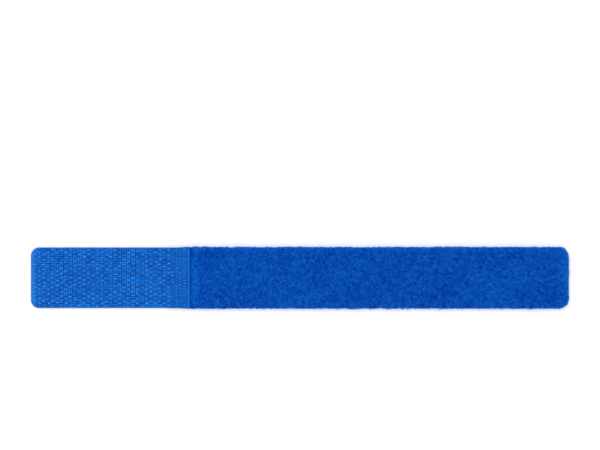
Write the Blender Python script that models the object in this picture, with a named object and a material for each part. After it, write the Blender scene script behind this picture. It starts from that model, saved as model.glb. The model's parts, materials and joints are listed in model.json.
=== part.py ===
"""A hook-and-loop wrap strap, face up on a flat surface, as a chain of panels that can be rolled up.

Frame: metres, +Z up. The strap lies along X with its hook tab at -X and its brushed loop end at +X.
The origin is at the middle of the strap, on the surface that it lies on. Hooks and loops face +Z.

The strap is one flexible strip. Each panel stands for the stretch of strip between two bend lines.
Panel lengths grow towards the tab, so that with every bend at its limit the panels lie in a
many-sided coil of evenly spaced layers, and the free tab then wraps around the outside of it.
"""

import math

import bmesh
import bpy

# Overall strap
STRAP_LENGTH = 0.175
LOOP_WIDTH = 0.0200
HOOK_WIDTH = 0.0194
HOOK_LENGTH = 0.0514  # hook tab, weld included
WELD_LENGTH = 0.0058  # where the hook tape is fused onto the end of the loop strap
LOOP_CORNER_RADIUS = 0.0032
HOOK_CORNER_RADIUS = 0.0024

# Layers, measured up from the surface that the strap lies on
CLOTH_THICKNESS = 0.0007  # ground weave with the short nap of its back
PILE_THICKNESS = 0.0013  # brushed loops on the face
TAPE_THICKNESS = 0.0005  # hook tape's ground weave with its binder
WELD_THICKNESS = 0.0012
PIVOT_HEIGHT = 0.00035  # middle of the ground weave, which neither stretches nor shrinks

# Monofilament hooks
HOOK_BED_THICKNESS = 0.0002
HOOK_TOP = 0.0022
HOOK_PITCH = 0.00175
HOOK_THREAD = 0.0003
HOOK_BEND_RADIUS = 0.0003  # of the thread's middle line
HOOK_TIP_ANGLE = math.radians(-35)

# Rolling up
BENDS_PER_TURN = 8
COIL_PANELS = 22  # panels that roll up, with the one that stays on the surface
PANELS_OUTSIDE_WELD = 2  # coil panels between the weld and the tab
ROLL_CLEARANCE = 0.0004  # between one layer of the coil and the next

# Fits
PIECE_GAP = 0.0003  # between pieces that touch

# Finish of edges
PILE_EDGE_RADIUS = 0.0004
CLOTH_EDGE_RADIUS = 0.00015
CORNER_SEGMENTS = 5
EDGE_SEGMENTS = 2
ARC_STEPS = 5
CORNER_MARGIN = 0.0002  # straight stretch left beside a rounded corner
SMOOTH_ANGLE = math.radians(40)  # faces that meet at less than this are shaded as one
SAME_PLACE = 0.000001  # points closer than this are at the same place

BEND_ANGLE = 2 * math.pi / BENDS_PER_TURN
CUT_SLOPE = math.tan(BEND_ANGLE / 2)  # lean of a panel's end faces, which close up when it bends
PILE_BOTTOM = CLOTH_THICKNESS + PIECE_GAP
STRAP_THICKNESS = PILE_BOTTOM + PILE_THICKNESS
HOOK_BED_BOTTOM = TAPE_THICKNESS + PIECE_GAP

# Finishes: linear colour, and roughness from matt cloth to shiny filament
PILE_BLUE = (0.0030, 0.072, 0.445)
CLOTH_BLUE = (0.0021, 0.120, 0.565)
TAPE_BLUE = (0.0060, 0.141, 0.610)
HOOK_BLUE = (0.031, 0.242, 0.791)
WELD_BLUE = (0.0052, 0.116, 0.546)
PILE_ROUGHNESS = 0.95
CLOTH_ROUGHNESS = 0.9
TAPE_ROUGHNESS = 0.7
HOOK_ROUGHNESS = 0.4
WELD_ROUGHNESS = 0.55


def clear_scene():
    for item in list(bpy.data.objects):
        bpy.data.objects.remove(item, do_unlink=True)


def make_material(name, colour, roughness):
    material = bpy.data.materials.new(name)
    material.use_nodes = True
    shader = material.node_tree.nodes["Principled BSDF"]
    shader.inputs["Base Color"].default_value = (*colour, 1)
    shader.inputs["Roughness"].default_value = roughness
    shader.inputs["Metallic"].default_value = 0
    return material


def coil_panel_lengths():
    """Lengths of the coil's panels, from the loop end outwards.

    Panel k of the coil is a side of a polygon at distance core + k * growth from the coil's axis.
    The core is sized so that one bend falls exactly at the outer edge of the weld.
    """
    growth = (STRAP_THICKNESS + ROLL_CLEARANCE) / BENDS_PER_TURN
    sides_to_weld = COIL_PANELS - PANELS_OUTSIDE_WELD
    length_to_weld = STRAP_LENGTH - HOOK_LENGTH + WELD_LENGTH
    summed = length_to_weld / (2 * CUT_SLOPE)
    core = summed / sides_to_weld - growth * (sides_to_weld - 1) / 2
    return [2 * CUT_SLOPE * (core + k * growth) for k in range(COIL_PANELS)], core, growth


def bend_positions():
    """X of every panel boundary from the tab's end to the loop end, both ends included."""
    lengths, core, growth = coil_panel_lengths()
    inner_tab_panel = 2 * CUT_SLOPE * (core + COIL_PANELS * growth)
    places = [STRAP_LENGTH / 2]
    for length in lengths:
        places.append(places[-1] - length)
    places.append(places[-1] - inner_tab_panel)
    places.append(-STRAP_LENGTH / 2)
    return places[::-1]


def end_inset(height):
    """How far a bending end face stands back from its bend line at this height."""
    return PIECE_GAP / 2 + max(height - PIVOT_HEIGHT, 0) * CUT_SLOPE


def slab_outline(start, end, low, high, start_bends, end_bends):
    """Side view of a slab from x = start to end, whose bending ends lean inwards above the pivot."""
    steps = [low, high]
    if low < PIVOT_HEIGHT < high:
        steps.insert(1, PIVOT_HEIGHT)
    right = [(end - (end_inset(z) if end_bends else 0), z) for z in steps]
    left = [(start + (end_inset(z) if start_bends else 0), z) for z in steps]
    return right + left[::-1]


def hook_outline(x, bed_top):
    """One cane-shaped hook in side view, from the near foot of its stem over to the far foot."""
    half = HOOK_THREAD / 2
    centre_z = HOOK_TOP - HOOK_BEND_RADIUS - half
    centre_x = x + HOOK_BEND_RADIUS
    sweep = [
        math.pi + (HOOK_TIP_ANGLE - math.pi) * step / ARC_STEPS
        for step in range(ARC_STEPS + 1)
    ]
    points = [(x - half, bed_top)]
    for radius, angles in ((HOOK_BEND_RADIUS + half, sweep), (HOOK_BEND_RADIUS - half, sweep[::-1])):
        points += [(centre_x + radius * math.cos(a), centre_z + radius * math.sin(a)) for a in angles]
    points.append((x + half, bed_top))
    return points


def hook_rows_outline(start, end, start_bends):
    """Side view of a hook bed with its rows of hooks, clear of the neighbours when it bends."""
    bed_top = HOOK_BED_BOTTOM + HOOK_BED_THICKNESS
    bed_start = start + (end_inset(bed_top) if start_bends else PIECE_GAP)
    bed_end = end - end_inset(bed_top)
    half = HOOK_THREAD / 2
    first = start + half + (end_inset(HOOK_TOP) if start_bends else HOOK_CORNER_RADIUS + PIECE_GAP)
    last = end - end_inset(HOOK_TOP) - 2 * HOOK_BEND_RADIUS - half
    spaces = max(math.floor((last - first) / HOOK_PITCH), 0)
    offset = (last - first - spaces * HOOK_PITCH) / 2
    points = [(bed_start, HOOK_BED_BOTTOM), (bed_start, bed_top)]
    for row in range(spaces + 1):
        points += hook_outline(first + offset + row * HOOK_PITCH, bed_top)
    points += [(bed_end, bed_top), (bed_end, HOOK_BED_BOTTOM)]
    return points[::-1]


def extrude_outline(outline, width, pivot_x):
    """A bmesh of the outline carried across the strap, about the bend line at pivot_x."""
    mesh = bmesh.new()
    near = [mesh.verts.new((x - pivot_x, -width / 2, z - PIVOT_HEIGHT)) for x, z in outline]
    face = mesh.faces.new(near)
    carried = bmesh.ops.extrude_face_region(mesh, geom=[face])
    far = [item for item in carried["geom"] if isinstance(item, bmesh.types.BMVert)]
    bmesh.ops.translate(mesh, verts=far, vec=(0, width, 0))
    bmesh.ops.recalc_face_normals(mesh, faces=mesh.faces)
    return mesh


def bevel_edges(mesh, chosen, radius, segments):
    if chosen:
        bmesh.ops.bevel(
            mesh, geom=chosen, offset=radius, segments=segments, profile=0.5, affect="EDGES",
            clamp_overlap=True,
        )


def round_plan_corners(mesh, end_x, radius):
    """Rounds the two upright corners at a free end of the strap."""
    upright = [
        edge for edge in mesh.edges
        if all(abs(vert.co.x - end_x) < SAME_PLACE for vert in edge.verts)
        and abs(edge.verts[0].co.y - edge.verts[1].co.y) < SAME_PLACE
    ]
    bevel_edges(mesh, upright, radius, CORNER_SEGMENTS)


def round_long_edges(mesh, width, radius):
    """Softens the top edges that run along the strap."""
    top = max(vert.co.z for vert in mesh.verts)
    along = [
        edge for edge in mesh.edges
        if all(abs(vert.co.z - top) < SAME_PLACE for vert in edge.verts)
        and all(abs(abs(vert.co.y) - width / 2) < SAME_PLACE for vert in edge.verts)
    ]
    bevel_edges(mesh, along, radius, EDGE_SEGMENTS)


def add_piece(name, mesh, material, axis):
    data = bpy.data.meshes.new(name)
    bmesh.ops.triangulate(mesh, faces=mesh.faces)
    mesh.to_mesh(data)
    mesh.free()
    data.materials.append(material)
    data.shade_smooth()
    data.set_sharp_from_angle(angle=SMOOTH_ANGLE)
    piece = bpy.data.objects.new(name, data)
    piece.parent = axis
    bpy.context.scene.collection.objects.link(piece)


def add_axis(number, pivot_x, parent, parent_x):
    """The empty on a panel's bend line, which carries the panel's pieces and the next panel."""
    axis = bpy.data.objects.new(f"panel_{number:02d}_axis", None)
    axis.empty_display_size = LOOP_WIDTH / 4
    if parent is None:
        axis.location = (pivot_x, 0, PIVOT_HEIGHT)
    else:
        axis.parent = parent
        axis.location = (pivot_x - parent_x, 0, 0)
    bpy.context.scene.collection.objects.link(axis)
    return axis


def slab(start, end, layer, width, ends, edge_radius, pivot_x, corner=None):
    """A panel's slab: layer is (low, high), ends say which end faces bend, corner is (x, radius)."""
    low, high = layer
    mesh = extrude_outline(slab_outline(start, end, low, high, *ends), width, pivot_x)
    if corner:
        end_x, radius = corner
        bending = end_inset(high) if any(ends) else 0
        room = min(end - start - bending - CORNER_MARGIN, width / 2 - CORNER_MARGIN)
        round_plan_corners(mesh, end_x - pivot_x, min(radius, room))
    round_long_edges(mesh, width, edge_radius)
    return mesh


def add_hook_panel(number, start, end, axis, pivot_x, materials):
    """A panel of the hook tab; the first one has the tab's rounded free end."""
    free_end = number == 1
    ends = (not free_end, True)
    corner = (start, HOOK_CORNER_RADIUS) if free_end else None
    tape = slab(start, end, (0, TAPE_THICKNESS), HOOK_WIDTH, ends, CLOTH_EDGE_RADIUS, pivot_x, corner)
    add_piece(f"hook_tape_{number:02d}", tape, materials["tape"], axis)
    rows_width = HOOK_WIDTH - 2 * PIECE_GAP
    rows = extrude_outline(hook_rows_outline(start, end, not free_end), rows_width, pivot_x)
    if free_end:
        round_plan_corners(rows, start + PIECE_GAP - pivot_x, HOOK_CORNER_RADIUS - PIECE_GAP)
    add_piece(f"hook_rows_{number:02d}", rows, materials["hooks"], axis)


def add_loop_panel(number, start, end, start_bends, axis, pivot_x, last, materials):
    """A panel of the loop strap: its ground weave and the brushed pile on it."""
    ends = (start_bends, not last)
    corner = (end, LOOP_CORNER_RADIUS) if last else None
    cloth = slab(start, end, (0, CLOTH_THICKNESS), LOOP_WIDTH, ends, CLOTH_EDGE_RADIUS, pivot_x, corner)
    add_piece(f"strap_cloth_{number:02d}", cloth, materials["cloth"], axis)
    pile_layer = (PILE_BOTTOM, STRAP_THICKNESS)
    pile = slab(start, end, pile_layer, LOOP_WIDTH, ends, PILE_EDGE_RADIUS, pivot_x, corner)
    add_piece(f"loop_pile_{number:02d}", pile, materials["pile"], axis)


def add_weld(number, start, axis, pivot_x, material):
    """The fused band where the hook tape laps over the end of the loop strap."""
    end = start + WELD_LENGTH
    layer = (0, WELD_THICKNESS)
    band = slab(start, end, layer, HOOK_WIDTH, (True, False), CLOTH_EDGE_RADIUS, pivot_x)
    add_piece(f"weld_band_{number:02d}", band, material, axis)
    return end


def build():
    clear_scene()
    materials = {
        "pile": make_material("brushed_loop_pile", PILE_BLUE, PILE_ROUGHNESS),
        "cloth": make_material("napped_ground_cloth", CLOTH_BLUE, CLOTH_ROUGHNESS),
        "tape": make_material("hook_tape_weave", TAPE_BLUE, TAPE_ROUGHNESS),
        "hooks": make_material("monofilament_hooks", HOOK_BLUE, HOOK_ROUGHNESS),
        "weld": make_material("fused_weld", WELD_BLUE, WELD_ROUGHNESS),
    }
    places = bend_positions()
    panel_count = len(places) - 1
    root = panel_count - COIL_PANELS + 1  # the panel that stays on the surface
    weld_panel = root + PANELS_OUTSIDE_WELD
    axes = {root: add_axis(root, places[root - 1], None, 0)}
    pivots = {root: places[root - 1]}
    for number in list(range(root - 1, 0, -1)) + list(range(root + 1, panel_count + 1)):
        inward = number + 1 if number < root else number - 1
        pivots[number] = places[number] if number < root else places[number - 1]
        axes[number] = add_axis(number, pivots[number], axes[inward], pivots[inward])
    for number in range(1, panel_count + 1):
        start, end = places[number - 1], places[number]
        axis, pivot_x = axes[number], pivots[number]
        if number < weld_panel:
            add_hook_panel(number, start, end, axis, pivot_x, materials)
            continue
        if number == weld_panel:
            start = add_weld(number, start, axis, pivot_x, materials["weld"]) + PIECE_GAP
        last = number == panel_count
        add_loop_panel(number, start, end, number > weld_panel, axis, pivot_x, last, materials)


build()
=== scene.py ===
import json
import math

import bmesh
import bpy
import numpy as np
from mathutils import Matrix, Vector


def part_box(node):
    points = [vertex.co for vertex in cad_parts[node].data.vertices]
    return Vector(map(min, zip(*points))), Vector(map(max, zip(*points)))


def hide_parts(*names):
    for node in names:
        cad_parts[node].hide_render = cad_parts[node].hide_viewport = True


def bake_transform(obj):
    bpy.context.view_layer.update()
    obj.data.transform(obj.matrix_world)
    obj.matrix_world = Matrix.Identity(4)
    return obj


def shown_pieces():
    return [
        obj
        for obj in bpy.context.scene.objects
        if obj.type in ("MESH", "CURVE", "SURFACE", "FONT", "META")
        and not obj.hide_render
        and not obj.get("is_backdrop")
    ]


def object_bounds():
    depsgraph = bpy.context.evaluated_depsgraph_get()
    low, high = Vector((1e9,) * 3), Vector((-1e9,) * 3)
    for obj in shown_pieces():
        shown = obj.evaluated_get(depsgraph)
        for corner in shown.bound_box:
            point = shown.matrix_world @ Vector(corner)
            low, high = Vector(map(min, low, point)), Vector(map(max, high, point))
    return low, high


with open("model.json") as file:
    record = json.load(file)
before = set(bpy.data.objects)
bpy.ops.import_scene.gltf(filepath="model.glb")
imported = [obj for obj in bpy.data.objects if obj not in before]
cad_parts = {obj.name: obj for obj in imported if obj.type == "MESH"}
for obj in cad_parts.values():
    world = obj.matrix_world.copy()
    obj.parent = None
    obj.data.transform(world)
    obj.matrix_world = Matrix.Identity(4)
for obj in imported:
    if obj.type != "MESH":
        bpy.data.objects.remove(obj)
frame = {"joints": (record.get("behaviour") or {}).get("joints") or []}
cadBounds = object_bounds()

mm = 0.001


# sRGB hex to the linear colour that a shader reads
def toLinear(hexColour):
    channels = [int(hexColour[i:i + 2], 16) / 255 for i in (1, 3, 5)]
    linear = [c / 12.92 if c <= 0.04045 else ((c + 0.055) / 1.055) ** 2.4 for c in channels]
    return (*linear, 1.0)


# one node with its settings, its plain input values and what feeds it
def addNode(tree, kind, settings=None, values=None, links=None):
    node = tree.nodes.new(kind)
    for key, value in (settings or {}).items():
        setattr(node, key, value)
    for key, value in (values or {}).items():
        node.inputs[key].default_value = value
    for key, socket in (links or {}).items():
        tree.links.new(socket, node.inputs[key])
    return node


# studio: camera, floor and light

studio = {
    "cameraPlace": (0.08 * mm, 17.17 * mm, 461.6 * mm),
    "lens": 85.0,
    "sensorWidth": 36.0,
    "clipStart": 0.01,
    "floorSide": 3.0,
    "floorHeight": -0.12 * mm,
    "floorColour": "#fbfbfb",
    "worldColour": "#ffffff",
    "worldStrength": 0.95,
    "softboxSide": 0.55,
    "softboxPlace": (-0.06, 0.15, 0.68),
    "softboxPower": 1.3,
}

camera = bpy.data.objects.new("camera", bpy.data.cameras.new("camera"))
bpy.context.scene.collection.objects.link(camera)
camera.location = studio["cameraPlace"]
camera.data.lens = studio["lens"]
camera.data.sensor_width = studio["sensorWidth"]
camera.data.clip_start = studio["clipStart"]
bpy.context.scene.camera = camera
bpy.context.scene.view_settings.view_transform = "Standard"

floorMesh = bmesh.new()
bmesh.ops.create_grid(floorMesh, x_segments=1, y_segments=1, size=studio["floorSide"] / 2)
bmesh.ops.translate(floorMesh, verts=floorMesh.verts, vec=(0, 0, studio["floorHeight"]))
floorData = bpy.data.meshes.new("floor")
floorMesh.to_mesh(floorData)
floorMesh.free()
floor = bpy.data.objects.new("floor", floorData)
bpy.context.scene.collection.objects.link(floor)
floor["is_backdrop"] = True

paperWhite = bpy.data.materials.new("paperWhite")  # seamless paper, dead matt
paperWhite.use_nodes = True
paperShader = paperWhite.node_tree.nodes["Principled BSDF"]
paperShader.inputs["Base Color"].default_value = toLinear(studio["floorColour"])
paperShader.inputs["Roughness"].default_value = 1.0
paperShader.inputs["Specular IOR Level"].default_value = 0.0
floor.data.materials.append(paperWhite)

world = bpy.data.worlds.new("studio")
world.use_nodes = True
world.node_tree.nodes["Background"].inputs["Color"].default_value = toLinear(studio["worldColour"])
world.node_tree.nodes["Background"].inputs["Strength"].default_value = studio["worldStrength"]
bpy.context.scene.world = world

softbox = bpy.data.objects.new("softbox", bpy.data.lights.new("softbox", "AREA"))
bpy.context.scene.collection.objects.link(softbox)
softbox.data.size = studio["softboxSide"]
softbox.data.energy = studio["softboxPower"]
softbox.location = studio["softboxPlace"]
softbox.rotation_euler = Vector(studio["softboxPlace"]).to_track_quat("Z", "Y").to_euler()
print("studio ready")


# the strap's outline and its panels

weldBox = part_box("weld_band_05")

# waves anywhere below are a depth, the lumps' size and a seed
strap = {
    "start": cadBounds[0].x,
    "end": cadBounds[1].x,
    "tapeHalfWidth": 9.85 * mm,
    "clothHalfWidth": 10.12 * mm,
    "weldStart": weldBox[0].x,
    "weldEnd": weldBox[1].x + 0.28 * mm,
    "widensFrom": 1.0 * mm,  # past the weld's start
    "widensTo": 2.0 * mm,  # past the weld's end
    "edgeWaves": ((0.09 * mm, 2.6 * mm, 11), (0.07 * mm, 1.1 * mm, 12)),
    "edgesApart": 30 * mm,  # from the middle of the wave pattern, so that the two edges differ
    # bulges of the -Y edge: place, half length and depth
    "bulges": ((weldBox[1].x + 0.88 * mm, 0.8 * mm, 0.16 * mm), (16.5 * mm, 1.3 * mm, 0.20 * mm)),
    # corner size and roundness: 2 is a quarter circle, lower is nearer a straight chamfer
    "corners": {
        ("start", 1): (2.3 * mm, 1.6),
        ("start", -1): (2.6 * mm, 2.0),
        ("end", 1): (3.1 * mm, 2.0),
        ("end", -1): (2.5 * mm, 1.45),
    },
    "sownWidth": 20,  # millimetres across that fibres are sown over
    "insetShare": 0.9,  # of an inset counts at a slab's rim, so that the rim keeps some thickness
}

bends = {
    "hingeHeight": 0.35 * mm,
    # bends run into each other, so that the roll comes out round: at the middle of a panel this
    # share of the next bend has begun already, except on a panel that stays flat
    "begun": 0.317,
    "rootPanel": 3,  # stays flat between the tab's bends and the roll's
    "perTurn": 8,
    "weldSpan": 4,  # the span in which the weld begins
    "tongue": 0.12 * mm,  # each span's end runs this far into the next one
    "tuck": 0.03 * mm,  # and lies this far inside it
    "endStations": (0.05 * mm, 0.13 * mm, 0.24 * mm, 0.40 * mm),  # extra ones from a free end
    "endClear": 0.5 * mm,
    "leastStep": 0.3,  # share of a step that stays between a span's end and the ruler's stations
}

joints = sorted(frame["joints"], key=lambda joint: joint["pos_m"][0])
hinges = [joint["pos_m"][0] for joint in joints]
panelEdges = [strap["start"], *hinges, strap["end"]]
panelMiddles = [(a + b) / 2 for a, b in zip(panelEdges, panelEdges[1:])]
lastSpan = len(joints)
weldSpan = bends["weldSpan"]

# the panels of the roll that lie over the root panel stay flat as well
flatPanels = range(bends["rootPanel"], lastSpan + 1, bends["perTurn"])

# a span runs from the middle of one panel to the middle of the next, across one hinge
spans = {}
for number, hinge in enumerate(hinges, 1):
    before, after = hinge - panelMiddles[number - 1], panelMiddles[number] - hinge
    if number == 1:
        before = after
    if number == lastSpan:
        after = before
    begun = 0 if number in flatPanels else bends["begun"]
    leftOver = 0 if number + 1 in flatPanels else bends["begun"]
    reach = (before + after) / (1 - begun - leftOver)
    spans[number] = {
        "number": number,
        "from": strap["start"] if number == 1 else panelMiddles[number - 1],
        "to": strap["end"] if number == lastSpan else panelMiddles[number],
        "bendFrom": hinge - before - begun * reach,
        "bendTo": hinge + after + leftOver * reach,
    }


def smoothStep(value, low, high):
    t = np.clip((value - low) / (high - low), 0, 1)
    return t * t * (3 - 2 * t)


# 1 at a place, fading to nothing over a length either side
def swell(distance, length):
    return np.exp(-((distance / length) ** 2))


def sideOf(y):
    return np.where(y >= 0, 1, -1)


# smooth, repeatable unevenness between plus and minus a depth, with lumps of the given size
def waves(x, y, depth, size, seed):
    cells = 97  # the pattern repeats after so many lumps
    shift = 4000  # keeps the cells' numbers above zero
    table = np.random.default_rng(seed).uniform(-1, 1, (cells, cells))
    u, v = x / size + shift, y / size + shift
    i, j = np.floor(u).astype(int), np.floor(v).astype(int)
    fu, fv = u - i, v - j
    fu, fv = fu * fu * (3 - 2 * fu), fv * fv * (3 - 2 * fv)
    near = table[i % cells, j % cells] * (1 - fu) + table[(i + 1) % cells, j % cells] * fu
    far = table[i % cells, (j + 1) % cells] * (1 - fu) + table[(i + 1) % cells, (j + 1) % cells] * fu
    return depth * (near * (1 - fv) + far * fv)


# how far a corner draws the edge in, at a distance from the strap's end
def cornerInset(distance, size, roundness):
    inside = np.clip(1 - distance / size, 0, 1)
    return size * (1 - (1 - inside ** roundness) ** (1 / roundness))


# half of the strap's width at x, on its +Y side (1) or -Y side (-1)
def halfWidth(x, side):
    share = smoothStep(x, strap["weldStart"] + strap["widensFrom"], strap["weldEnd"] + strap["widensTo"])
    width = strap["tapeHalfWidth"] + share * (strap["clothHalfWidth"] - strap["tapeHalfWidth"])
    for edgeWave in strap["edgeWaves"]:
        width = width + share * waves(x, side * strap["edgesApart"], *edgeWave)
    for place, length, depth in strap["bulges"]:
        width = width + (side < 0) * depth * swell(x - place, length)
    for end, distance in (("start", x - strap["start"]), ("end", strap["end"] - x)):
        for which in (1, -1):
            size, roundness = strap["corners"][(end, which)]
            inset = cornerInset(distance, size, roundness)
            width = width - np.where(side == which, inset, 0)
    return width


# distance to the nearest edge that shows
def edgeDistance(x, y):
    across = halfWidth(x, sideOf(y)) - np.abs(y)
    return np.minimum(across, np.minimum(x - strap["start"], strap["end"] - x))


# a slab's thickness as a share: full inside, and falling to the least at its edge on a quarter circle
def edgeRound(distance, radius, least=0.3):
    t = np.clip(1 - distance / radius, 0, 1)
    return np.maximum(np.sqrt(1 - t * t), least)


# plain weave of threads laid both ways, one pitch apart, as a height from 0 to 1
def weave(x, y, pitch, rise=0.40):
    u, v = x / pitch, y / pitch
    hair = 1e-6  # a place between two threads counts with the next one
    i, j = np.floor(u + hair), np.floor(v + hair)
    alongX = rise * np.cos(math.pi * (u - 0.5)) * np.where(j % 2 < 0.5, 1.0, -1.0)
    alongY = -rise * np.cos(math.pi * (v - 0.5)) * np.where(i % 2 < 0.5, 1.0, -1.0)
    roundX = np.sqrt(np.clip(1 - (2 * (v - j - 0.5)) ** 2, 0, 1)) * (1 - rise)
    roundY = np.sqrt(np.clip(1 - (2 * (u - i - 0.5)) ** 2, 0, 1)) * (1 - rise)
    return np.maximum(alongX + roundX, alongY + roundY)


# stations on a common ruler: closer together at a free end, and with a tongue past one that joins on
def ruler(first, last, step, freeFirst, freeLast):
    close = np.array(bends["endStations"])
    least = bends["leastStep"]
    inner = np.arange(math.ceil(first / step + least), math.floor(last / step - least) + 1) * step
    if freeFirst:
        inner = np.concatenate([first + close, inner[inner > first + bends["endClear"]]])
    if freeLast:
        inner = np.concatenate([inner[inner < last - bends["endClear"]], last - close[::-1]])
    before = [] if freeFirst else [first - bends["tongue"]]
    after = [] if freeLast else [last + bends["tongue"]]
    return np.concatenate([before, [first], inner, [last], after])


# shares across the strap from -1 to 1, with extra ones at given distances from its two edges
def acrossFrom(edgeStations, inner, half):
    close = np.array(edgeStations) / half
    return np.concatenate([[-1], close - 1, inner, 1 - close[::-1], [1]])


# mesh parts as arrays, so that thousands of fibres can join one piece

def readPart(bm):
    mesh = bpy.data.meshes.new("part")
    bm.to_mesh(mesh)
    bm.free()
    points = np.empty(len(mesh.vertices) * 3)
    corners = np.empty(len(mesh.loops), np.int32)
    sizes = np.empty(len(mesh.polygons), np.int32)
    mesh.vertices.foreach_get("co", points)
    mesh.loops.foreach_get("vertex_index", corners)
    mesh.polygons.foreach_get("loop_total", sizes)
    bpy.data.meshes.remove(mesh)
    return {"points": points.reshape(-1, 3), "corners": corners, "sizes": sizes}


# a closed slab; shape gives x, y, both heights and both faces' shades from x and the share across
def makeSlab(stations, across, shape, freeFirst, freeLast):
    bm = bmesh.new()
    bmesh.ops.create_grid(bm, x_segments=len(stations) - 1, y_segments=len(across) - 1, size=0.5)
    raised = bmesh.ops.extrude_face_region(bm, geom=bm.faces[:])
    upper = [item for item in raised["geom"] if isinstance(item, bmesh.types.BMVert)]
    bmesh.ops.translate(bm, verts=upper, vec=(0, 0, 1))
    bmesh.ops.recalc_face_normals(bm, faces=bm.faces)
    part = readPart(bm)
    grid = part["points"]
    along = np.rint((grid[:, 0] + 0.5) * (len(stations) - 1)).astype(int)
    aside = np.rint((grid[:, 1] + 0.5) * (len(across) - 1)).astype(int)
    isUpper = grid[:, 2] > 0.5
    x, y, low, high, lowShade, highShade = shape(stations[along], across[aside])
    isTongue = ((along == 0) & (not freeFirst)) | ((along == len(stations) - 1) & (not freeLast))
    tuck = np.where(isTongue, bends["tuck"], 0)
    height = np.where(isUpper, high - tuck, low + tuck)
    part["points"] = np.column_stack([x, y - np.sign(y) * tuck, height])
    part["shade"] = np.where(isUpper, highShade, lowShade)
    return part


# copies of one part, each turned, sized and placed, with a shade of its own
def copyPart(part, turns, sizes, places, shades):
    count, points = len(places), part["points"]
    moved = np.einsum("nij,npj->npi", turns, points[None] * sizes[:, None]) + places[:, None]
    shift = np.arange(count, dtype=np.int32)[:, None] * len(points)
    return {
        "points": moved.reshape(-1, 3),
        "corners": (part["corners"][None] + shift).ravel(),
        "sizes": np.tile(part["sizes"], count),
        "shade": np.repeat(shades, len(points)),
    }


# rotation matrices for many copies: a lean from upright, in a direction, after a spin on its own axis
def turnsOf(spin, lean, direction):
    def turnAbout(axis, angle):
        first, second = (axis + 1) % 3, (axis + 2) % 3
        turns = np.zeros((len(angle), 3, 3))
        turns[:, axis, axis] = 1
        turns[:, first, first] = np.cos(angle)
        turns[:, second, second] = np.cos(angle)
        turns[:, second, first] = np.sin(angle)
        turns[:, first, second] = -np.sin(angle)
        return turns

    return turnAbout(2, direction) @ turnAbout(1, lean) @ turnAbout(2, spin - direction)


def makePiece(name, parts, material, sharpAngle=75):
    shift, points, corners, sizes, shade = 0, [], [], [], []
    for part in parts:
        points.append(part["points"])
        corners.append(part["corners"] + shift)
        sizes.append(part["sizes"])
        shade.append(part["shade"])
        shift += len(part["points"])
    points, corners, sizes = np.concatenate(points), np.concatenate(corners), np.concatenate(sizes)
    mesh = bpy.data.meshes.new(name)
    mesh.vertices.add(len(points))
    mesh.vertices.foreach_set("co", points.astype(np.float32).ravel())
    mesh.loops.add(len(corners))
    mesh.loops.foreach_set("vertex_index", corners.astype(np.int32))
    mesh.polygons.add(len(sizes))
    mesh.polygons.foreach_set("loop_start", np.concatenate([[0], np.cumsum(sizes)[:-1]]).astype(np.int32))
    mesh.update(calc_edges=True)
    # where each point is at rest, so that a pattern stays on the cloth as it bends
    mesh.attributes.new("restPlace", "FLOAT_VECTOR", "POINT").data.foreach_set(
        "vector", points.astype(np.float32).ravel())
    mesh.attributes.new("shade", "FLOAT", "POINT").data.foreach_set(
        "value", np.concatenate(shade).astype(np.float32))
    mesh.shade_smooth()
    mesh.set_sharp_from_angle(angle=math.radians(sharpAngle))
    mesh.materials.append(material)
    piece = bpy.data.objects.new(name, mesh)
    bpy.context.scene.collection.objects.link(piece)
    return piece


# a piece takes the place of its span's CAD nodes, which are hidden; the pressed hooks stand for no CAD node
# of their own
def hangOn(piece, nodes):
    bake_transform(piece)
    if nodes:
        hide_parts(*nodes)


# materials

nylonIor = 1.53


def startMaterial(name, values):
    material = bpy.data.materials.new(name)
    material.use_nodes = True
    tree = material.node_tree
    shader = tree.nodes["Principled BSDF"]
    shader.inputs["IOR"].default_value = nylonIor
    for key, value in values.items():
        shader.inputs[key].default_value = toLinear(value) if isinstance(value, str) else value
    place = addNode(tree, "ShaderNodeAttribute", {"attribute_name": "restPlace"}).outputs["Vector"]
    return material, tree, shader, place


# uneven colour between two shades: lumps of a real size, and the shade attribute, which holds each fibre's
# own tone and, on the tape, the cloth's back and the pile, painted light and shade
def mottle(tree, place, dark, light, lump, shadeShare, contrast=0.5):
    lumps = addNode(tree, "ShaderNodeTexNoise", None, {"Scale": 1 / lump, "Detail": 3.0, "Roughness": 0.6},
                    {"Vector": place}).outputs["Fac"]
    shade = addNode(tree, "ShaderNodeAttribute", {"attribute_name": "shade"}).outputs["Fac"]
    both = addNode(tree, "ShaderNodeMix", {"data_type": "FLOAT"}, {"Factor": shadeShare},
                   {"A": lumps, "B": shade}).outputs["Result"]
    ramp = addNode(tree, "ShaderNodeValToRGB", None, None, {"Fac": both})
    for element, side, colour in zip(ramp.color_ramp.elements, (-1, 1), (dark, light)):
        element.position = 0.5 + side * contrast / 2
        element.color = toLinear(colour)
    return ramp.outputs["Color"]


# another colour over part of the cloth, blended in over a reach of some distance
def addBand(tree, colour, distance, reach, bandColour):
    share = addNode(tree, "ShaderNodeMapRange", {"interpolation_type": "SMOOTHSTEP"}, reach,
                    {"Value": distance}).outputs["Result"]
    return addNode(tree, "ShaderNodeMix", {"data_type": "RGBA"}, {"B": toLinear(bandColour)},
                   {"Factor": share, "A": colour}).outputs["Result"]


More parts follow.
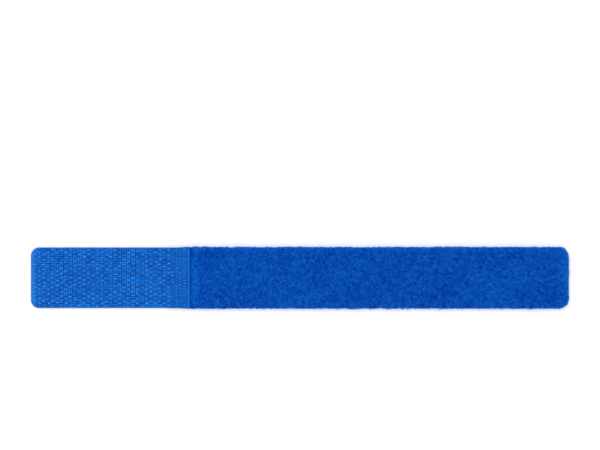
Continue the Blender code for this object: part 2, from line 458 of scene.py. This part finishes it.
# a fine grain that varies the roughness and lifts the surface a little
def roughen(tree, shader, place, grain, low, high, bumpDistance, strength):
    speckle = addNode(tree, "ShaderNodeTexNoise", None, {"Scale": 1 / grain, "Detail": 2.0},
                      {"Vector": place}).outputs["Fac"]
    rough = addNode(tree, "ShaderNodeMapRange", None, {"To Min": low, "To Max": high}, {"Value": speckle})
    tree.links.new(rough.outputs["Result"], shader.inputs["Roughness"])
    bump = addNode(tree, "ShaderNodeBump", None, {"Strength": strength, "Distance": bumpDistance},
                   {"Height": speckle})
    tree.links.new(bump.outputs["Normal"], shader.inputs["Normal"])


# brushed nylon loop: fine matt fibres that scatter light, so no gloss and a faint bloom at edges
brushedLoop, tree, shader, place = startMaterial("brushedNylonLoop", {
    "Roughness": 0.9,
    "Specular IOR Level": 0.15,
    "Specular Tint": "#6aa8ff",
    "Sheen Weight": 0.05,
    "Sheen Roughness": 0.5,
    "Sheen Tint": "#3a86f0",
})
colour = mottle(tree, place, "#0037af", "#157fdd", 0.6 * mm, 0.66, 0.52)
tree.links.new(colour, shader.inputs["Base Color"])
roughen(tree, shader, place, 0.12 * mm, 0.82, 0.97, 0.03 * mm, 0.35)

# warp-knitted nylon ground with a short raised back: matt, and paler towards its long edges
knittedGround, tree, shader, place = startMaterial("knittedNylonGround", {
    "Roughness": 0.8,
    "Specular IOR Level": 0.3,
    "Sheen Weight": 0.08,
})
colour = mottle(tree, place, "#0a5abc", "#1c76d8", 0.9 * mm, 0.5)
axes = addNode(tree, "ShaderNodeSeparateXYZ", None, None, {"Vector": place})
fromMiddle = addNode(tree, "ShaderNodeMath", {"operation": "ABSOLUTE"}, None, {"Value": axes.outputs["Y"]})
edged = addBand(tree, colour, fromMiddle.outputs["Value"],
                {"From Min": 9.45 * mm, "From Max": 9.80 * mm}, "#2f8cf0")
tree.links.new(edged, shader.inputs["Base Color"])
roughen(tree, shader, place, 0.16 * mm, 0.7, 0.9, 0.03 * mm, 0.4)

# woven nylon tape with a resin coat on it: a fine square grid with a soft shine, its gaps painted dark as
# shade and its thread crowns painted light as highlight; paler at the end that a hot cut sealed
wovenTape, tree, shader, place = startMaterial("coatedNylonWeave", {
    "Roughness": 0.5,
    "Specular IOR Level": 0.12,
    "Specular Tint": "#6fb0ff",
})
colour = mottle(tree, place, "#002674", "#1c80e6", 0.5 * mm, 0.84, 1.0)
axes = addNode(tree, "ShaderNodeSeparateXYZ", None, None, {"Vector": place})
sealedReach = {
    "From Min": strap["start"] + 0.3 * mm,
    "From Max": strap["start"] + 2.2 * mm,
    "To Min": 0.62,
    "To Max": 0.0,
}
ended = addBand(tree, colour, axes.outputs["X"], sealedReach, "#2a80dc")
tree.links.new(ended, shader.inputs["Base Color"])
roughen(tree, shader, place, 0.2 * mm, 0.42, 0.6, 0.02 * mm, 0.3)

# drawn nylon monofilament: round, hard and shiny, a little paler than the tape and painted paler still as
# highlight, so that each hook's crown shows a bright dash
monofilament, tree, shader, place = startMaterial("nylonMonofilament", {
    "Roughness": 0.3,
    "Specular IOR Level": 0.35,
    "Specular Tint": "#9cc8ff",
})
# partly painted highlight: both colours are paler than the filament's own blue
colour = mottle(tree, place, "#2079dc", "#52a4fa", 1.5 * mm, 0.7)
tree.links.new(colour, shader.inputs["Base Color"])
roughen(tree, shader, place, 0.3 * mm, 0.22, 0.36, 0.01 * mm, 0.2)

# hooks pressed flat by the weld: the same filament, dulled where it melted
meltedFilament, tree, shader, place = startMaterial("meltedNylonFilament", {
    "Roughness": 0.45,
    "Specular IOR Level": 0.3,
    "Specular Tint": "#9cc8ff",
})
colour = mottle(tree, place, "#1560bc", "#3c90e8", 1.5 * mm, 0.8)
tree.links.new(colour, shader.inputs["Base Color"])
roughen(tree, shader, place, 0.3 * mm, 0.38, 0.55, 0.01 * mm, 0.2)

# heat-fused lap of both tapes: threads melted together, smoother than the weave, with a pale cut lip
fusedLap, tree, shader, place = startMaterial("fusedNylonLap", {
    "Roughness": 0.4,
    "Specular IOR Level": 0.12,
    "Specular Tint": "#6fb0ff",
})
colour = mottle(tree, place, "#003484", "#106cce", 1.1 * mm, 0.80, 0.8)
axes = addNode(tree, "ShaderNodeSeparateXYZ", None, None, {"Vector": place})
lipReach = {"From Min": strap["weldEnd"] - 0.40 * mm, "From Max": strap["weldEnd"] - 0.22 * mm}
lipped = addBand(tree, colour, axes.outputs["X"], lipReach, "#2278d2")
tree.links.new(lipped, shader.inputs["Base Color"])
roughen(tree, shader, place, 0.35 * mm, 0.34, 0.5, 0.03 * mm, 0.4)
print("materials ready")


# hook tape: woven ground, raised where it laps over the strap

hookTape = {
    "threads": 26,  # threads across; the real 0.65 mm ones are drawn at 0.76 mm so that the grid shows
    "stationsPerThread": 4,
    "edgeStations": (0.05 * mm, 0.11 * mm),
    "bottom": 0.06 * mm,
    "top": 0.74 * mm,
    "relief": 0.20 * mm,
    "underRelief": 0.6,  # as a share of the upper face's
    "threadLevel": 0.8,  # the share of the threads' height that lies level with the top
    "gapHeight": 0.44,  # below this share of the threads' height lie the gaps, painted dark as shade
    "crownWaves": (0.45, 1.3, 24),  # painted glints, brighter on some crowns than others, in lumps of threads
    "faceWaves": (0.03 * mm, 1.8 * mm, 21),
    "edgeRadius": 0.30 * mm,
    "edgeTone": 0.55,
    "edgeToneWidth": 0.35 * mm,
    "sealedEnd": 1.3 * mm,
    "sealedFade": (-0.3 * mm, 0.4 * mm),
    "sealedRelief": 0.80,
    "lapRise": 0.78 * mm,
    "lapRiseFrom": strap["weldStart"] - 2.4 * mm,
    "lapFlatFrom": strap["weldStart"] + 0.5 * mm,
    "pressedFade": (-0.4 * mm, 0.5 * mm),  # from the weld's start
    "pressedRelief": 0.60,
    "pressMarks": (0.09 * mm, 1.0 * mm, 22),
    "lipHeight": 0.12 * mm,
    "lipLength": 0.18 * mm,
    "lipFromEnd": 0.25 * mm,
}
hookTape["threadPitch"] = 2 * strap["tapeHalfWidth"] / hookTape["threads"]


# how far the tape has risen on to the strap
def lapLift(x):
    return hookTape["lapRise"] * smoothStep(x, hookTape["lapRiseFrom"], hookTape["lapFlatFrom"])


# heights and tones of the tape's two faces
def tapeFaces(x, y):
    pitch = hookTape["threadPitch"]
    distance = edgeDistance(x, y)
    threads = weave(x - strap["start"], y, pitch)
    under = weave(x - strap["start"] + pitch, y, pitch)
    fromSealed = strap["start"] + hookTape["sealedEnd"] - x
    sealed = 1 - (1 - hookTape["sealedRelief"]) * smoothStep(fromSealed, *hookTape["sealedFade"])
    fromWeld = x - strap["weldStart"]
    pressed = 1 - (1 - hookTape["pressedRelief"]) * smoothStep(fromWeld, *hookTape["pressedFade"])
    relief = hookTape["relief"] * sealed * pressed
    lap = lapLift(x)
    lip = hookTape["lipHeight"] * swell(x - strap["weldEnd"] + hookTape["lipFromEnd"], hookTape["lipLength"])
    high = hookTape["top"] + lap + lip + relief * (threads - hookTape["threadLevel"])
    high = high + waves(x, y, *hookTape["faceWaves"])
    high = high + (1 - pressed) * waves(x, y, *hookTape["pressMarks"])
    low = hookTape["bottom"] + lap + relief * hookTape["underRelief"] * (hookTape["threadLevel"] - under)
    middle = (high + low) / 2
    cutDistance = np.where(x > strap["weldStart"], np.minimum(distance, strap["weldEnd"] - x), distance)
    thick = edgeRound(cutDistance, hookTape["edgeRadius"])
    # painted light and shade: the crowns are painted lighter as highlight and the gaps darker as shade
    crown = np.clip((threads - hookTape["gapHeight"]) / (1 - hookTape["gapHeight"]), 0, 1)
    crown = crown * (1 + waves(x / pitch, y / pitch, *hookTape["crownWaves"]))
    tone = 0.5 + (crown - 0.5) * sealed * pressed
    edgeLight = edgeRound(distance, hookTape["edgeToneWidth"])
    tone = tone * (hookTape["edgeTone"] + (1 - hookTape["edgeTone"]) * edgeLight)
    # the underside is painted the same way, from its own threads
    underTone = 0.5 + (under - 0.5) * sealed
    return middle + (low - middle) * thick, middle + (high - middle) * thick, underTone, tone


def tapeShape(stations, share):
    y = share * halfWidth(stations, sideOf(share))
    return (stations, y, *tapeFaces(stations, y))


tapeStep = hookTape["threadPitch"] / hookTape["stationsPerThread"]
tapeHalf = strap["tapeHalfWidth"]
halfSteps = hookTape["threads"] * hookTape["stationsPerThread"] // 2
tapeAcross = acrossFrom(
    hookTape["edgeStations"], np.arange(1 - halfSteps, halfSteps) * tapeStep / tapeHalf, tapeHalf)


# a stretch of the tape, with stations that fall on the threads, counted from the strap's end
def makeTape(first, last, freeFirst, freeLast):
    ruled = ruler(first - strap["start"], last - strap["start"], tapeStep, freeFirst, freeLast)
    return makeSlab(ruled + strap["start"], tapeAcross, tapeShape, freeFirst, freeLast)


for number in range(1, weldSpan + 1):
    span = spans[number]
    last = strap["weldStart"] if number == weldSpan else span["to"]
    slab = makeTape(span["from"], last, number == 1, False)
    piece = makePiece(f"hookTape_{number:02d}", [slab], wovenTape)
    hangOn(piece, [f"hook_tape_{number:02d}"])
print("hook tape woven")


# hooks: monofilament canes in staggered rows

# spreads of facing and lean are in radians; width and height are shares of the cane's own

hooks = {
    "threadRadius": 0.12 * mm,
    "threadSides": 6,
    "archRadius": 0.30 * mm,
    "archSteps": 6,
    "top": 2.20 * mm,
    "root": 0.55 * mm,
    "rootGrown": 1.15,
    "tip": 0.42 * mm,
    "tipGrown": 0.85,
    "rows": 25,
    "rowPitch": 0.75 * mm,
    "hookPitch": 2.90 * mm,
    "firstHook": strap["start"] + 1.5 * mm,
    "lastHook": strap["weldStart"] - 0.3 * mm,
    "overhang": 0.4 * mm,  # towards the strap's start
    "edgeClear": 0.45 * mm,
    "placeSpread": 0.04 * mm,
    "facingSpread": 0.13,
    "leanSpread": 0.10,
    "widthSpread": 0.09,
    "height": 0.98,
    "heightSpread": 0.03,
    "shades": (0.1, 0.9),
    "seed": 5,
}


# one cane: an arch spun from a ring, a long leg, and a short cut tip
def makeCane():
    bm = bmesh.new()
    bmesh.ops.create_circle(bm, segments=hooks["threadSides"], radius=hooks["threadRadius"])
    bmesh.ops.translate(bm, verts=bm.verts, vec=(hooks["archRadius"], 0, 0))
    rootRing = bm.edges[:]
    arch = bmesh.ops.spin(bm, geom=bm.verts[:] + rootRing, cent=(0, 0, 0), axis=(0, -1, 0),
                          angle=math.pi, steps=hooks["archSteps"], use_merge=False)
    tipRing = [item for item in arch["geom_last"] if isinstance(item, bmesh.types.BMEdge)]
    archTop = hooks["top"] - hooks["threadRadius"] - hooks["archRadius"]
    ends = (
        (rootRing, archTop - hooks["root"], hooks["rootGrown"]),
        (tipRing, hooks["tip"], hooks["tipGrown"]),
    )
    for ring, length, grown in ends:
        out = bmesh.ops.extrude_edge_only(bm, edges=ring)
        moved = [item for item in out["geom"] if isinstance(item, bmesh.types.BMVert)]
        edges = [item for item in out["geom"] if isinstance(item, bmesh.types.BMEdge)]
        bmesh.ops.translate(bm, verts=moved, vec=(0, 0, -length))
        middle = sum((vert.co for vert in moved), Vector()) / len(moved)
        bmesh.ops.scale(bm, verts=moved, vec=(grown, grown, 1), space=Matrix.Translation(-middle))
        bmesh.ops.edgeloop_fill(bm, edges=[edge for edge in edges if edge.is_boundary])
    bmesh.ops.recalc_face_normals(bm, faces=bm.faces)
    part = readPart(bm)
    part["points"][:, 2] += archTop
    return part


cane = makeCane()
chance = np.random.default_rng(hooks["seed"])
canePlaces = []
for row in range(hooks["rows"]):
    across = (row - (hooks["rows"] - 1) / 2) * hooks["rowPitch"]
    begin = hooks["firstHook"] + (row % 2) * hooks["hookPitch"] / 2
    for x in np.arange(begin, hooks["lastHook"], hooks["hookPitch"]):
        if edgeDistance(np.array([x - hooks["overhang"]]), np.array([across]))[0] > hooks["edgeClear"]:
            canePlaces.append((x, across, row % 2))
canePlaces = np.array(canePlaces)
count = len(canePlaces)

# every other row faces the other way
facing = np.where(canePlaces[:, 2] > 0.5, 0.0, math.pi) + chance.normal(0, hooks["facingSpread"], count)
caneTurns = turnsOf(facing, chance.normal(0, hooks["leanSpread"], count), chance.uniform(0, math.pi, count))
caneSizes = np.column_stack([
    chance.normal(1, hooks["widthSpread"], count),
    np.ones(count),
    chance.normal(hooks["height"], hooks["heightSpread"], count),
])
caneJitter = chance.normal(0, hooks["placeSpread"], (count, 2))
canePoints = np.column_stack([canePlaces[:, :2] + caneJitter, np.zeros(count)])
caneShade = chance.uniform(*hooks["shades"], count)
for number in range(1, weldSpan + 1):
    span = spans[number]
    here = (canePlaces[:, 0] >= span["from"]) & (canePlaces[:, 0] < span["to"])
    lift = lapLift(canePoints[here, 0])
    sizes = caneSizes[here].copy()
    sizes[:, 2] *= (hooks["top"] - lift) / hooks["top"]
    places = canePoints[here].copy()
    places[:, 2] = lift
    part = copyPart(cane, caneTurns[here], sizes, places, caneShade[here])
    piece = makePiece(f"hooks_{number:02d}", [part], monofilament)
    hangOn(piece, [f"hook_rows_{number:02d}"])
print("hooks set:", count)


# weld: the tape's end fused on to the strap, with pressed hooks

weldHooks = {
    "rows": 19,
    "rowPitch": 1.00 * mm,
    "columns": 4,
    "columnPitch": 1.25 * mm,
    "firstColumn": 0.4,  # in columns from the weld's start
    "stagger": 0.25,  # in rows either way
    "placeSpread": 0.10 * mm,
    "facingSpread": 0.18,
    "widths": (0.5, 0.8),
    "flatTo": 0.16,
    "sunk": 0.09 * mm,
    "seed": 8,
}

for number in (weldSpan, weldSpan + 1):
    span = spans[number]
    first = strap["weldStart"] if number == weldSpan else span["from"]
    last = span["to"] if number == weldSpan else strap["weldEnd"]
    slab = makeTape(first, last, False, number > weldSpan)
    piece = makePiece(f"weldLap_{number:02d}", [slab], fusedLap)
    hangOn(piece, ["weld_band_05"])

chance = np.random.default_rng(weldHooks["seed"])
pressedPlaces = []
for column in range(weldHooks["columns"]):
    stagger = weldHooks["stagger"] * (2 * (column % 2) - 1)
    for row in range(weldHooks["rows"]):
        pressedPlaces.append((
            strap["weldStart"] + (weldHooks["firstColumn"] + column) * weldHooks["columnPitch"],
            (row - (weldHooks["rows"] - 1) / 2 + stagger) * weldHooks["rowPitch"]))
count = len(pressedPlaces)
pressedPlaces = np.array(pressedPlaces) + chance.normal(0, weldHooks["placeSpread"], (count, 2))
lapTop = hookTape["top"] + hookTape["lapRise"] - weldHooks["sunk"]
pressedTurns = turnsOf(chance.normal(0, weldHooks["facingSpread"], count), np.zeros(count), np.zeros(count))
pressedSizes = np.column_stack([
    chance.uniform(*weldHooks["widths"], count),
    np.ones(count),
    np.full(count, weldHooks["flatTo"]),
])
pressedPoints = np.column_stack([pressedPlaces, np.full(count, lapTop)])
pressedPart = copyPart(cane, pressedTurns, pressedSizes, pressedPoints, chance.uniform(0, 1, count))
piece = makePiece(f"pressedHooks_{weldSpan:02d}", [pressedPart], meltedFilament)
hangOn(piece, [])
print("weld pressed")


# one fibre curl of radius 1: a thin three-sided ring spun most of the way round, standing upright
def makeCurl(thickness, sweep, steps):
    bm = bmesh.new()
    bmesh.ops.create_circle(bm, segments=3, radius=thickness)
    bmesh.ops.translate(bm, verts=bm.verts, vec=(1, 0, 0))
    firstRing = bm.edges[:]
    turn = bmesh.ops.spin(bm, geom=bm.verts[:] + firstRing, cent=(0, 0, 0), axis=(0, -1, 0),
                          angle=math.radians(sweep), steps=steps, use_merge=False)
    lastRing = [item for item in turn["geom_last"] if isinstance(item, bmesh.types.BMEdge)]
    for ring in (firstRing, lastRing):
        bmesh.ops.edgeloop_fill(bm, edges=ring)
    bmesh.ops.recalc_face_normals(bm, faces=bm.faces)
    lean = Matrix.Rotation(math.radians((sweep - 180) / 2), 4, "Y")
    bmesh.ops.transform(bm, matrix=lean, verts=bm.verts)
    return readPart(bm)


# strap ground with its short napped back

ground = {
    "bottom": 0.24 * mm,
    "top": 0.72 * mm,
    "inset": 0.16 * mm,
    "edgeRadius": 0.16 * mm,
    "edgeThickness": 0.55,
    "ribPitch": 0.55 * mm,
    "stitchesPerRib": 0.8,
    "relief": 0.08 * mm,
    "stitchDepth": 0.5,  # share of the relief that the stitches break up
    "stitchTone": 0.6,  # and of the painted shade in the hollows
    "cutTone": 0.5,
    "underWaves": (0.03 * mm, 1.4 * mm, 31),
    "step": 0.22 * mm,
    "across": 91,
    "edgeStations": (0.05 * mm,),
    "innerFrom": 0.15 * mm,
}

nap = {
    "perSquareMm": 2.6,
    "radius": 0.20 * mm,
    "sizes": (0.7, 1.25),
    "shape": (1.5, 1.0, 0.75),
    "leanSpread": 0.5,
    "endClear": 0.1 * mm,
    "sideInset": 0.15 * mm,
    "edgeClear": 0.12 * mm,
    "sunk": 0.03 * mm,
    "curl": (0.16, 200, 5),  # thickness, sweep in degrees and steps
    "seed": 40,
}


def groundShape(stations, share):
    y = share * (halfWidth(stations, sideOf(share)) - ground["inset"])
    rib = 0.5 + 0.5 * np.cos(2 * math.pi * y / ground["ribPitch"])
    stagger = np.where(rib > 0.5, 0, math.pi)
    turn = 2 * math.pi * stations / ground["ribPitch"] * ground["stitchesPerRib"] + stagger
    stitch = 0.5 + 0.5 * np.cos(turn)
    distance = np.maximum(edgeDistance(stations, y) - ground["inset"] * strap["insetShare"], 0)
    thick = edgeRound(distance, ground["edgeRadius"], ground["edgeThickness"])
    middle = (ground["bottom"] + ground["top"]) / 2
    high = middle + (ground["top"] - middle) * thick
    depth = 1 - ground["stitchDepth"] + ground["stitchDepth"] * stitch
    low = middle + (ground["bottom"] - middle) * thick - ground["relief"] * rib * depth
    low = low - waves(stations, y, *ground["underWaves"])
    # painted shade: the napped back is darker in the hollows between ribs and stitches
    tone = rib * (1 - ground["stitchTone"] + ground["stitchTone"] * stitch)
    return stations, y, low, high, tone, np.full_like(low, ground["cutTone"])


clothHalf = strap["clothHalfWidth"]
groundReach = 1 - ground["innerFrom"] / clothHalf
groundAcross = acrossFrom(
    ground["edgeStations"], np.linspace(-groundReach, groundReach, ground["across"]), clothHalf)
napCurl = makeCurl(*nap["curl"])


# many short curls under the strap
def makeNap(span, first, last):
    chance = np.random.default_rng(nap["seed"] + span["number"])
    count = int((last - first) / mm * strap["sownWidth"] * nap["perSquareMm"])
    x = chance.uniform(first + nap["endClear"], last - nap["endClear"], count)
    y = chance.uniform(-1, 1, count)
    y = y * (halfWidth(x, sideOf(y)) - nap["sideInset"])
    keep = edgeDistance(x, y) > nap["edgeClear"]
    x, y = x[keep], y[keep]
    count = len(x)
    spin = chance.uniform(0, 2 * math.pi, count)
    lean = math.pi + chance.normal(0, nap["leanSpread"], count)  # they hang down
    turns = turnsOf(spin, lean, chance.uniform(0, 2 * math.pi, count))
    sizes = nap["radius"] * chance.uniform(*nap["sizes"], (count, 1)) * np.array(nap["shape"])
    places = np.column_stack([x, y, np.full(count, ground["bottom"] - nap["sunk"])])
    return copyPart(napCurl, turns, sizes, places, chance.uniform(0, 1, count))


for number in range(weldSpan, lastSpan + 1):
    span = spans[number]
    first = strap["weldStart"] if number == weldSpan else span["from"]
    free = (number == weldSpan, number == lastSpan)
    stations = ruler(first, span["to"], ground["step"], *free)
    parts = [makeSlab(stations, groundAcross, groundShape, *free), makeNap(span, first, span["to"])]
    piece = makePiece(f"strapGround_{number:02d}", parts, knittedGround)
    hangOn(piece, [f"strap_cloth_{number + 1:02d}"])
print("strap ground knitted")


# loop pile: a soft bed and thousands of fibre curls

pile = {
    "start": strap["weldEnd"] + 0.12 * mm,
    "bottom": 0.70 * mm,
    "bedTop": 1.42 * mm,
    "top": 2.30 * mm,
    "strayTop": 2.42 * mm,
    "bedInset": 0.28 * mm,
    "edgeRadius": 0.55 * mm,
    "edgeThickness": 0.45,
    "startSlope": 0.1 * mm,
    "pressedLength": 2.2 * mm,  # beside the weld
    "pressedBy": 0.30,
    "bedWaves": (0.16 * mm, 1.3 * mm, 51),
    "tuftWaves": (0.05 * mm, 0.5 * mm, 52),
    # painted shade: the bed under the curls is darker than they are
    "tone": 0.35,
    "toneWaves": (0.3, 0.5 * mm, 52),
    "underTone": 0.3,
    "groove": (0.2 * mm, 0.9 * mm),  # painted shadow of the tape's cut step, dark up to here from the start
    "grooveTone": 0.45,
    "step": 0.28 * mm,
    "across": 67,
    "edgeStations": (0.08 * mm, 0.20 * mm),
    "innerFrom": 0.38 * mm,
}

# pairs are a least and a most; roots, edgeRoots, edgeInsets and strayRoots are in millimetres
curls = {
    "perSquareMm": 8.0,
    "perEdgeMm": 7.0,
    "straysPerMm": 0.7,
    "radius": 0.42 * mm,
    "kinds": ((0.105, 235, 7), (0.10, 290, 8), (0.12, 190, 6), (0.17, 215, 6)),
    "thickKind": 3,
    "thickShade": 0.35,
    "sizes": (0.65, 1.15),
    "widths": (0.75, 1.3),
    "heights": (0.8, 1.25),
    "lean": (0.55, 0.40),  # mean and spread
    "leanLimits": (-0.2, 1.35),
    "sideLean": (0.9, 1.5),
    "sideSpread": 0.5,
    "startClear": 0.40 * mm,
    "sideInset": 0.22 * mm,
    "edgeClear": 0.20 * mm,
    "roots": (-0.12, 0.16),  # from the bed's top
    "pressedSize": 0.62,
    "edgeInsets": (0.22, 0.42),
    "edgeRoots": (0.1, 0.75),
    "edgeSize": 0.62,
    "edgeEndClear": 0.3 * mm,
    "strayStart": 1.0 * mm,
    "strayInset": 0.30 * mm,
    "strayEndClear": 3.0 * mm,
    "strayRoots": (1.2, 1.8),
    "straySizes": (0.75, 1.1),
    "seed": 70,
}

# what makes a curl paler: its own chance, its height (painted shade, darker towards the roots), and where on
# the strap it is
curlShade = {
    "own": 0.60,
    # painted shade: darker low in the pile, lighter at the tips
    "height": 0.50,
    "base": -0.07,
    "weldBand": 0.26,
    "weldBandIn": (0.7 * mm, 1.8 * mm),
    "weldBandOut": (2.0 * mm, 3.6 * mm),
    "grooveSide": -0.10,
    "grooveOut": (0.5 * mm, 1.2 * mm),
    "end": 0.42,
    "endIn": (-4.2 * mm, -0.4 * mm),
    "farEdge": 0.36,
    "farEdgeIn": (-1.6 * mm, 0),
    "patches": (0.16, 6.0 * mm, 53),
}


def pileHeight(x, y):
    pressed = 1 - pile["pressedBy"] * (1 - smoothStep(x - pile["start"], 0, pile["pressedLength"]))
    height = pile["bottom"] + (pile["bedTop"] - pile["bottom"]) * pressed
    return height + waves(x, y, *pile["bedWaves"]) * pressed


def pileShape(stations, share):
    y = share * (halfWidth(stations, sideOf(share)) - pile["bedInset"])
    distance = edgeDistance(stations, y) - pile["bedInset"] * strap["insetShare"]
    distance = np.minimum(distance, stations - pile["start"] + pile["startSlope"])
    thick = edgeRound(np.maximum(distance, 0), pile["edgeRadius"], pile["edgeThickness"])
    high = pile["bottom"] + (pileHeight(stations, y) - pile["bottom"]) * thick
    high = high + waves(stations, y, *pile["tuftWaves"])
    outOfGroove = smoothStep(stations - pile["start"], *pile["groove"])
    # painted shade: the bed, lying under the curls, is darker
    tone = pile["tone"] + waves(stations, y, *pile["toneWaves"])
    # painted shadow of the tape's cut step on the bed next to the weld
    tone = tone * (pile["grooveTone"] + (1 - pile["grooveTone"]) * outOfGroove)
    low = np.full_like(stations, pile["bottom"])
    return stations, y, low, high, np.full_like(high, pile["underTone"]), tone


pileReach = 1 - pile["innerFrom"] / clothHalf
pileAcross = acrossFrom(pile["edgeStations"], np.linspace(-pileReach, pileReach, pile["across"]), clothHalf)
fibreCurls = [makeCurl(*kind) for kind in curls["kinds"]]


# the part of a curl's shade that comes from its place
def tintAt(x, y):
    fromStart = x - pile["start"]
    intoBand = smoothStep(fromStart, *curlShade["weldBandIn"])
    outOfBand = smoothStep(fromStart, *curlShade["weldBandOut"])
    outOfGroove = smoothStep(fromStart, *curlShade["grooveOut"])
    # painted shadow of the tape's cut step on the curls next to the weld
    tint = curlShade["weldBand"] * intoBand * (1 - outOfBand) + curlShade["grooveSide"] * (1 - outOfGroove)
    tint = tint + curlShade["end"] * smoothStep(x - strap["end"], *curlShade["endIn"])
    tint = tint + curlShade["farEdge"] * smoothStep(y - strap["clothHalfWidth"], *curlShade["farEdgeIn"])
    return tint + waves(x, y, *curlShade["patches"])


# curls at the given roots; outward is 1 or -1 for those that lean out over an edge, 0 for the rest
def makeCurls(chance, x, y, root, outward, sizeScale):
    parts = []
    kinds = chance.integers(0, len(fibreCurls), len(x))
    for kind, curl in enumerate(fibreCurls):
        here = kinds == kind
        count = int(here.sum())
        sideways = outward[here]
        lean = np.clip(chance.normal(*curls["lean"], count), *curls["leanLimits"])
        direction = chance.uniform(0, 2 * math.pi, count)
        lean = np.where(sideways != 0, chance.uniform(*curls["sideLean"], count), lean)
        sideDirection = sideways * math.pi / 2 + chance.normal(0, curls["sideSpread"], count)
        direction = np.where(sideways != 0, sideDirection, direction)
        turns = turnsOf(chance.uniform(0, 2 * math.pi, count), lean, direction)
        size = curls["radius"] * sizeScale[here, None] * chance.uniform(*curls["sizes"], (count, 1))
        sizes = size * np.column_stack([
            chance.uniform(*curls["widths"], count),
            np.ones(count),
            chance.uniform(*curls["heights"], count),
        ])
        places = np.column_stack([x[here], y[here], root[here]])
        own = chance.uniform(0, 1, count) + (kind == curls["thickKind"]) * curls["thickShade"]
        part = copyPart(curl, turns, sizes, places, own)
        points = part["points"]
        # painted shade: each curl is darker low down, where the pile shades it, and lighter at its tip
        height = (points[:, 2] - pile["bedTop"]) / (pile["top"] - pile["bedTop"])
        shade = curlShade["own"] * part["shade"] + curlShade["height"] * height + curlShade["base"]
        part["shade"] = np.clip(shade + tintAt(points[:, 0], points[:, 1]), 0, 1)
        points[:, 2] = np.minimum(points[:, 2], pile["strayTop"])
        parts.append(part)
    return parts


# fibres all over a span's bed
def sowBed(chance, first, last):
    count = int((last - first) / mm * strap["sownWidth"] * curls["perSquareMm"])
    x = chance.uniform(first, last, count)
    y = chance.uniform(-1, 1, count)
    y = y * (halfWidth(x, sideOf(y)) - curls["sideInset"])
    keep = (edgeDistance(x, y) > curls["edgeClear"]) & (x > pile["start"] + curls["startClear"])
    x, y = x[keep], y[keep]
    risen = smoothStep(x - pile["start"], 0, pile["pressedLength"])
    root = pileHeight(x, y) + chance.uniform(*curls["roots"], len(x)) * mm
    size = curls["pressedSize"] + (1 - curls["pressedSize"]) * risen
    return makeCurls(chance, x, y, root, np.zeros(len(x)), size)


# fibres that lean out over both edges
def sowEdges(chance, first, last):
    count = int((last - first) / mm * curls["perEdgeMm"]) * 2
    x = chance.uniform(max(first, pile["start"] + curls["startClear"]), last, count)
    side = np.where(np.arange(count) % 2 == 0, 1, -1)
    y = side * (halfWidth(x, side) - chance.uniform(*curls["edgeInsets"], count) * mm)
    keep = strap["end"] - x > curls["edgeEndClear"]
    x, y, side = x[keep], y[keep], side[keep]
    root = pile["bottom"] + chance.uniform(*curls["edgeRoots"], len(x)) * mm
    return makeCurls(chance, x, y, root, side.astype(float), np.full(len(x), curls["edgeSize"]))


# a few longer fibres that stray beyond both edges
def sowStrays(chance, first, last):
    count = int((last - first) / mm * curls["straysPerMm"]) * 2
    x = chance.uniform(max(first, pile["start"] + curls["strayStart"]), last, count)
    side = np.where(np.arange(count) % 2 == 0, 1, -1)
    y = side * (halfWidth(x, side) - curls["strayInset"])
    keep = strap["end"] - x > curls["strayEndClear"]
    x, y, side = x[keep], y[keep], side[keep]
    root = chance.uniform(*curls["strayRoots"], len(x)) * mm
    size = chance.uniform(*curls["straySizes"], len(x))
    return makeCurls(chance, x, y, root, side.astype(float), size)


for number in range(weldSpan + 1, lastSpan + 1):
    span = spans[number]
    isFirst = number == weldSpan + 1
    first = pile["start"] if isFirst else span["from"]
    free = (isFirst, number == lastSpan)
    stations = ruler(first, span["to"], pile["step"], *free)
    chance = np.random.default_rng(curls["seed"] + number)
    parts = [makeSlab(stations, pileAcross, pileShape, *free)]
    for sow in (sowBed, sowEdges, sowStrays):
        parts += sow(chance, first, span["to"])
    piece = makePiece(f"loopPile_{number:02d}", parts, brushedLoop)
    nodes = [f"loop_pile_{number + 1:02d}"]
    if isFirst:
        nodes.append(f"loop_pile_{number:02d}")
    hangOn(piece, nodes)
print("loop pile raised")

triangles = sum(len(piece.data.loops) - 2 * len(piece.data.polygons)
                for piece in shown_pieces() if piece.type == "MESH")
print("triangles:", triangles)
